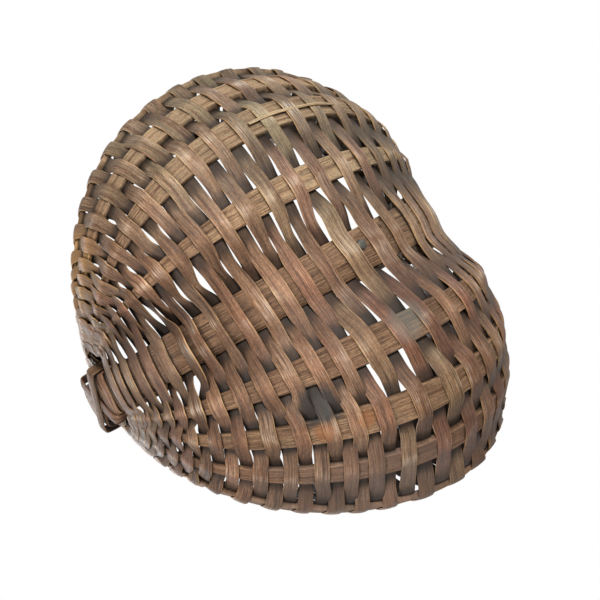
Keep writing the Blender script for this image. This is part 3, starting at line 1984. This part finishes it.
# The patterns of every wood. The first three follow the grain, and the last two the whole basket
FIBRE = Pattern((40, 1500, 1), 0.0, 4, 0.65)
STREAK = Pattern((9, 420, 1), 3.7, 3, 0.6)
FLECK = Pattern((420, 900, 1), 1.9, 3, 0.7)
BLOTCH = Pattern((55, 55, 55), 0.0, 3, 0.5)
PATCH = Pattern((16, 16, 16), 5.1, 2, 0.5)
# The side of the basket that has greyed, how unevenly, and how far out the wood is grey
WEATHER_SIDE = (0.45, -0.85, 0.0)
WEATHER_PATCH = 0.06
WEATHERED = Span(0.02, 0.13)
# How dark streaks, light fibres and grooves come out of the patterns
STREAKED = Span(0.3, 0.58)
LIGHT_FIBRE = Span(0.5, 0.66)
LIGHT_STRENGTH = 0.8
GROOVED = Span(0.46, 0.36)
# Shades of the wood: by blotch, by piece, by patch and by fleck
BLOTCH_SHADE = Span(0.25, 0.75, 0.68, 1.04)
PIECE_SHADE = 0.38
PATCH_SHADE = Span(0.3, 0.7, 0.84, 1.14)
FLECK_SHADE = Span(0.35, 0.65, 0.76, 1.22)
# Warm and cool tints of single pieces, and what spreads them over the pieces
WARM_TINT = "FAECE7"
COOL_TINT = "EDF1E6"
TINT_SPREAD = 7.3
# Where rubbed places and pale cut edges show
RUBBED_FIBRE = Span(0.42, 0.6)
RUBBED_BLOTCH = Span(0.45, 0.7, 0.0, 0.75)
CUT_BLOTCH = Span(0.38, 0.62, 0.1, 0.85)
# Dirt under the neighbours, and the dark of corners, which reach this far in millimetres
GRIME = "211A15"
GRIME_TUCK = Span(0.02, 0.76)
GRIME_PATCH = Span(0.2, 0.8, 0.97, 0.8)
CORNER_REACH = 6.0
CORNER_SAMPLES = 6
CORNER_SHADE = Span(0.28, 0.9, 0.22, 1.06)
# Shares of fibre, streak and fleck in the relief, and how it shows
RELIEF_SHARES = (0.8, 0.6, 0.3)
RELIEF_STRENGTH = 0.8
# How much smoother the wood is on its fibres, rougher in its grooves and smoother where it is rubbed
SMOOTHER_FIBRE = 0.08
ROUGHER_GROOVE = 0.1
GLOSS_FIBRE = (0.3, 0.7)
RUBBED_GLOSS = -0.25
SHEEN = 0.22
# A stain's middle, in shares of its reach, its ragged outline, and how it takes to the fibres
STAIN_CORE = 0.5
STAIN_RAGGED = 0.9
STAIN_FIBRE = Span(0.62, 0.4, 0.85, 1.0)


@dataclass(frozen=True)
class Wood:
    """A weathered wood finish with its grain along the piece.

    Attributes:
        name: Name of the material.
        dark: Colour of its dark grain.
        base: Its main colour.
        weathered: Its main colour where it is most exposed.
        groove: Colour down in its grain.
        light: Colour of its light grain.
        edge: Colour of its cut edges.
        worn: Colour where hands and shelves have rubbed it.
        grain: Grain lines to the millimetre.
        depth: How strongly its grooves show, from 0 to 1.
        relief: Height of the grain in millimetres.
        roughness: Roughness of its faces.
        stains: Places of another colour.
    """

    name: str
    dark: str
    base: str
    weathered: str
    groove: str
    light: str
    edge: str
    worn: str
    grain: float
    depth: float
    relief: float
    roughness: float
    stains: tuple[Stain, ...] = ()

    def material(self) -> Material:
        """Makes the material."""
        made, sheet = NodeSheet.blank(self.name)
        shader = sheet.add("ShaderNodeBsdfPrincipled")
        sheet.surface("ShaderNodeOutputMaterial", shader.outputs[0])
        grain = sheet.add("ShaderNodeUVMap", uv_map=GRAIN_MAP).outputs[0]
        place = sheet.add("ShaderNodeTexCoord").outputs["Object"]
        fibre = FIBRE.drawn(sheet, grain, self.grain)
        streak = STREAK.drawn(sheet, grain, self.grain)
        fleck = FLECK.drawn(sheet, grain)
        blotch = BLOTCH.drawn(sheet, place)
        patch = PATCH.drawn(sheet, place)
        colour = self.grained(sheet, place, fibre, streak, patch)
        tone = sheet.attribute(Mark.TONE)
        shade = sheet.plus(sheet.ranged(blotch, BLOTCH_SHADE), sheet.times(tone, PIECE_SHADE))
        shade = sheet.times(shade, sheet.ranged(patch, PATCH_SHADE))
        shade = sheet.times(shade, sheet.ranged(fleck, FLECK_SHADE))
        colour = sheet.mix(1.0, colour, shade, "MULTIPLY")
        tint_share = sheet.math("FRACT", sheet.times(tone, TINT_SPREAD))
        tint = sheet.mix(tint_share, linear(WARM_TINT), linear(COOL_TINT))
        colour = sheet.mix(1.0, colour, tint, "MULTIPLY")
        worn = sheet.times(sheet.attribute(Mark.WEAR), sheet.ranged(fibre, RUBBED_FIBRE))
        worn = sheet.times(worn, sheet.ranged(blotch, RUBBED_BLOTCH))
        colour = sheet.mix(worn, colour, linear(self.worn))
        cut = sheet.times(sheet.attribute(Mark.EDGE), sheet.ranged(blotch, CUT_BLOTCH))
        colour = sheet.mix(cut, colour, linear(self.edge))
        for stain in self.stains:
            share = stain.share(sheet, place, blotch, fibre)
            colour = sheet.mix(share, colour, linear(stain.colour))
        grime = sheet.ranged(sheet.attribute(Mark.TUCK), GRIME_TUCK)
        grime = sheet.times(grime, sheet.ranged(patch, GRIME_PATCH))
        colour = sheet.mix(grime, colour, linear(GRIME))
        corners = sheet.add("ShaderNodeAmbientOcclusion", samples=CORNER_SAMPLES)
        corners.inputs["Distance"].default_value = CORNER_REACH * METRES
        lit = sheet.ranged(corners.outputs["AO"], CORNER_SHADE)
        sheet.feed(shader.inputs["Base Color"], sheet.mix(1.0, colour, lit, "MULTIPLY"))
        first, second, third = RELIEF_SHARES
        height = sheet.plus(sheet.times(fibre, first), sheet.times(streak, second))
        height = sheet.plus(height, sheet.times(fleck, third))
        sheet.feed(shader.inputs["Normal"], sheet.bump(height, RELIEF_STRENGTH, self.relief))
        rough = Span(*GLOSS_FIBRE, self.roughness - SMOOTHER_FIBRE, self.roughness + ROUGHER_GROOVE)
        gloss = sheet.times(worn, RUBBED_GLOSS)
        sheet.feed(shader.inputs["Roughness"], sheet.plus(sheet.ranged(fibre, rough), gloss))
        shader.inputs["Specular IOR Level"].default_value = SHEEN
        return made

    def grained(
        self,
        sheet: NodeSheet,
        place: Socket,
        fibre: Socket,
        streak: Socket,
        patch: Socket,
    ) -> Socket:
        """Colour of the bare wood.

        Args:
            sheet: The material's nodes.
            place: Where the surface is.
            fibre: The fine grain.
            streak: The coarse grain.
            patch: Unevenness over the whole basket.

        Returns:
            The socket of the colour.
        """
        outward = sheet.add("ShaderNodeVectorMath", operation="DOT_PRODUCT")
        sheet.feed(outward.inputs[0], place)
        outward.inputs[1].default_value = WEATHER_SIDE
        exposed = sheet.plus(outward.outputs["Value"], sheet.times(patch, WEATHER_PATCH))
        weather = sheet.ranged(exposed, WEATHERED)
        base = sheet.mix(weather, linear(self.base), linear(self.weathered))
        colour = sheet.mix(sheet.ranged(streak, STREAKED), linear(self.dark), base)
        light = sheet.times(sheet.ranged(fibre, LIGHT_FIBRE), LIGHT_STRENGTH)
        colour = sheet.mix(light, colour, linear(self.light))
        groove = sheet.times(sheet.ranged(fibre, GROOVED), self.depth)
        return sheet.mix(groove, colour, linear(self.groove))


@dataclass(frozen=True)
class Iron:
    """Old grey iron with a little rust.

    Attributes:
        name: Name of the material.
        metal: Colour of the metal.
        rust: Colour of the rust.
        pitted: Pattern of the pits.
        cover: How rust comes out of that pattern.
        dull: How roughness comes out of it.
        shine: How metallic the whole is.
        relief: Depth of the pits in millimetres.
        strength: How strongly they show.
    """

    name: str = "nail_iron"
    metal: str = "444944"
    rust: str = "5A4434"
    pitted: Pattern = Pattern((900, 900, 900), 0.0, 4, 0.6)
    cover: Span = Span(0.45, 0.62, 0.0, 0.8)
    dull: Span = Span(0.3, 0.7, 0.38, 0.7)
    shine: float = 0.6
    relief: float = 0.2
    strength: float = 0.5

    def material(self) -> Material:
        """Makes the material."""
        made, sheet = NodeSheet.blank(self.name)
        shader = sheet.add("ShaderNodeBsdfPrincipled")
        sheet.surface("ShaderNodeOutputMaterial", shader.outputs[0])
        pits = self.pitted.drawn(sheet, sheet.add("ShaderNodeTexCoord").outputs["Object"])
        colour = sheet.mix(sheet.ranged(pits, self.cover), linear(self.metal), linear(self.rust))
        sheet.feed(shader.inputs["Base Color"], colour)
        sheet.feed(shader.inputs["Roughness"], sheet.ranged(pits, self.dull))
        sheet.feed(shader.inputs["Normal"], sheet.bump(pits, self.strength, self.relief))
        shader.inputs["Metallic"].default_value = self.shine
        return made


@dataclass(frozen=True)
class Lamp:
    """A soft lamp that looks at the middle of the basket.

    Attributes:
        name: Its name.
        towards: Direction from the basket to the lamp.
        distance: How far it is, in metres.
        size: Its side, in metres.
        power: Its power in watts.
    """

    name: str
    towards: tuple[float, float, float]
    distance: float
    size: float
    power: float


@dataclass
class Studio:
    """The floor, the lamps, the white surroundings and the camera.

    Attributes:
        middle: What the camera and the lamps look at, in metres.
        distance: Distance of the camera from it, in metres.
        heading: Way that the camera looks, round Z, in degrees.
        climb: How steeply it looks up, in degrees.
        roll: How far it is turned about its own axis, in degrees.
        lens: Its focal length in millimetres.
        sensor: Width of its sensor in millimetres.
        nearest: Nearest distance that it shows, in metres.
        shift: How far its picture is moved, in widths.
        floor_size: Side of the floor in metres.
        floor_colour: Colour of the floor.
        floor_glow: How much the floor shines by itself.
        ambient: How bright the surroundings are to the basket.
        lamps: The lamps.
    """

    middle: Vector
    distance: float = 1.33154
    heading: float = -4.271
    climb: float = 65.992
    roll: float = -123.478
    lens: float = 117.76
    sensor: float = 36.0
    nearest: float = 0.05
    shift: tuple[float, float] = (0.0612, 0.0175)
    floor_size: float = 6.0
    floor_colour: str = "F2F1EF"
    floor_glow: float = 0.6
    ambient: float = 0.09
    lamps: tuple[Lamp, ...] = (
        Lamp("key_lamp", (-0.15, -0.35, -1.0), 1.6, 0.34, 33.0),
        Lamp("fill_lamp", (-0.97, 0.3, -0.4), 1.8, 0.6, 19.0),
        Lamp("back_lamp", (0.95, -0.65, -0.4), 1.8, 0.6, 12.0),
        Lamp("top_lamp", (-0.3, 0.0, 1.0), 1.8, 1.2, 32.0),
        Lamp("side_lamp", (0.1, 1.0, 0.7), 1.8, 1.0, 5.0),
    )

    def build(self) -> None:
        """Sets up the whole studio."""
        self.lay_floor()
        self.light_world()
        for lamp in self.lamps:
            self.hang(lamp)
        self.stand_camera()
        bpy.context.scene.view_settings.view_transform = "Standard"

    def lay_floor(self) -> None:
        """Lays a pale floor that only shows from above."""
        bm = bmesh.new()
        bmesh.ops.create_grid(bm, x_segments=1, y_segments=1, size=self.floor_size / 2)
        floor = finished("floor", bm)
        made, sheet = NodeSheet.blank("pale_floor")
        paint = sheet.add("ShaderNodeBsdfDiffuse")
        glow = sheet.add("ShaderNodeEmission")
        for shader in (paint, glow):
            shader.inputs["Color"].default_value = linear(self.floor_colour)
        glow.inputs["Strength"].default_value = self.floor_glow
        lit = sheet.joined("ShaderNodeAddShader", paint.outputs[0], glow.outputs[0])
        clear = sheet.add("ShaderNodeBsdfTransparent").outputs[0]
        underside = sheet.add("ShaderNodeNewGeometry").outputs["Backfacing"]
        choice = sheet.joined("ShaderNodeMixShader", underside, lit, clear)
        sheet.surface("ShaderNodeOutputMaterial", choice)
        floor.data.materials.append(made)
        floor.visible_shadow = False
        floor.visible_diffuse = False
        floor.visible_glossy = False

    def light_world(self) -> None:
        """Makes the surroundings white to the eye and softly bright to the basket."""
        world = bpy.data.worlds.new("studio")
        bpy.context.scene.world = world
        world.use_nodes = True
        world.node_tree.nodes.clear()
        sheet = NodeSheet(world.node_tree)
        path = sheet.add("ShaderNodeLightPath")
        seen = sheet.plus(path.outputs["Is Camera Ray"], path.outputs["Is Transmission Ray"])
        shown = sheet.math("ADD", seen, path.outputs["Is Glossy Ray"], clamp=True)
        soft, white = sheet.sky(self.ambient), sheet.sky(1.0)
        choice = sheet.joined("ShaderNodeMixShader", shown, soft, white)
        sheet.surface("ShaderNodeOutputWorld", choice)

    def hang(self, lamp: Lamp) -> None:
        """Hangs one lamp.

        Args:
            lamp: The lamp.
        """
        light = bpy.data.lights.new(lamp.name, "AREA")
        light.energy = lamp.power
        light.size = lamp.size
        made = bpy.data.objects.new(lamp.name, light)
        towards = Vector(lamp.towards).normalized()
        made.location = self.middle + towards * lamp.distance
        made.rotation_euler = (-towards).to_track_quat("-Z", "Y").to_euler()
        bpy.context.scene.collection.objects.link(made)

    def stand_camera(self) -> None:
        """Puts the camera under the basket, where the photograph was taken from."""
        heading, climb = math.radians(self.heading), math.radians(self.climb)
        level = math.cos(climb)
        look = Vector((level * math.cos(heading), level * math.sin(heading), math.sin(climb)))
        camera = bpy.data.cameras.new("camera")
        camera.lens = self.lens
        camera.sensor_width = self.sensor
        camera.shift_x, camera.shift_y = self.shift
        camera.clip_start = self.nearest
        made = bpy.data.objects.new("camera", camera)
        made.location = self.middle - look * self.distance
        turn = look.to_track_quat("-Z", "Y") @ Quaternion(Z_AXIS, math.radians(self.roll))
        made.rotation_euler = turn.to_euler()
        bpy.context.scene.collection.objects.link(made)
        bpy.context.scene.camera = made


# Places where the wood is shaded, dusty, wet, smoked, scorched and sunned
EAR_SHADE = Stain((-127, 0, -30), 18, "1C140E", 0.7)
STAINS = (
    Stain((-40, 150, -60), 95, "75665C", 0.35),
    Stain((-130, 10, -40), 60, "6F6056", 0.3),
    Stain((-53, 72, -121), 17, "2A2D2C", 0.95),
    Stain((22, 53, -135), 17, "62655E", 0.55),
    Stain((-56, 87, -117), 9, "8A5632", 0.55),
    Stain((-31, 92, -123), 9, "8A5632", 0.55),
    Stain((-106, -72, -42), 42, "B68A54", 0.6),
)
# The finishes, one for each of the record's wooden slots
WOODS = (
    Wood(
        name="hoop_wood", dark="48301F", base="6C503D", weathered="7C6C5A", groove="231A14",
        light="92745C", edge="A07A54", worn="A8987F", grain=0.8, depth=0.75, relief=0.6, roughness=0.7,
        stains=(EAR_SHADE, *STAINS),
    ),
    Wood(
        name="rib_wood", dark="553D2C", base="775C48", weathered="8B7A62", groove="2A201A",
        light="9F8467", edge="4F3B29", worn="AA9A80", grain=0.95, depth=0.55, relief=0.7, roughness=0.76,
        stains=STAINS,
    ),
    Wood(
        name="dark_splint", dark="5A3D2E", base="7F5A45", weathered="7F6F5C", groove="2E231D",
        light="A68268", edge="CFA06A", worn="BDB09E", grain=0.95, depth=0.8, relief=0.5, roughness=0.56,
        stains=STAINS,
    ),
    Wood(
        name="pale_splint", dark="614735", base="886850", weathered="8B7B66", groove="362A22",
        light="B09072", edge="D4A972", worn="C4B8A2", grain=0.95, depth=0.8, relief=0.5, roughness=0.58,
        stains=STAINS,
    ),
    Wood(
        name="lashing_wood", dark="523829", base="7A5A46", weathered="7C6752", groove="33241B",
        light="9A7A5E", edge="97734E", worn="A09078", grain=0.8, depth=0.7, relief=0.45, roughness=0.68,
    ),
)
# The row beside which the spine's scarf is, and the angle of the rim's scarf
SCARF_ROW = 26
RIM_SCARF = 262.0


def main() -> None:
    """Builds the basket's looks, sub-assembly by sub-assembly, and then the studio."""
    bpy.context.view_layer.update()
    size = BasketSize()
    hoop_wood, rib_wood, dark_splint, pale_splint, lashing_wood = (wood.material() for wood in WOODS)
    handle_line = Line(size.handle_point, 0, FULL_TURN)
    rim_line = Line(size.rim_point, 0, FULL_TURN)
    left_line = Line(lambda angle: size.rim_point(FULL_TURN - angle), 0, HALF_TURN)
    right_line = Line(size.rim_point, 0, HALF_TURN)
    spacing = RowSpacing()
    on_spine = spacing.on_spine()
    left_rows, right_rows = (spacing.fanned(lobe.drift, spacing.rim_fan) for lobe in size.lobes)
    across_handle = (Y_AXIS, size.hoop_width, size.hoop_thickness)
    across_rim = (Z_AXIS, size.rim_width, size.rim_thickness)
    handle = Hoop("handle_hoop", handle_line, *across_handle, on_spine[SCARF_ROW], hoop_wood)
    rim = Hoop("rim_hoop", rim_line, *across_rim, RIM_SCARF, hoop_wood)
    left_ribs, right_ribs = (
        [Rib(size, lobe, rib, number, rib_wood) for number, rib in enumerate(lobe.ribs, start=1)]
        for lobe in size.lobes
    )
    warps = [
        rim.warp(left_rows, left_line, is_turned=True),
        *[rib.warp(spacing) for rib in reversed(left_ribs)],
        handle.warp(spacing.with_ears(on_spine), handle_line),
        *[rib.warp(spacing) for rib in right_ribs],
        rim.warp(right_rows, right_line),
    ]
    weave = Weave(size, warps, dark_splint, pale_splint, spacing)
    handle.build()
    rim.build()
    for j, rib in enumerate(reversed(left_ribs), start=1):
        rib.build(lambda angle, j=j: weave.out_at(j, angle))
    for j, rib in enumerate(right_ribs, start=1 + weave.spine):
        rib.build(lambda angle, j=j: weave.out_at(j, angle))
    weave.build()
    Sliver(weave, pale_splint).build()
    EarLashings(size, lashing_wood).build()
    EarBindings(size, rim_line, handle_line, lashing_wood).build()
    ScarfNail(weave, Iron().material(), SCARF_ROW).build()
    Studio(RIM_MIDDLE * METRES).build()


if __name__ == "__main__":
    logging.basicConfig(level=logging.INFO, format="%(message)s")
    main()
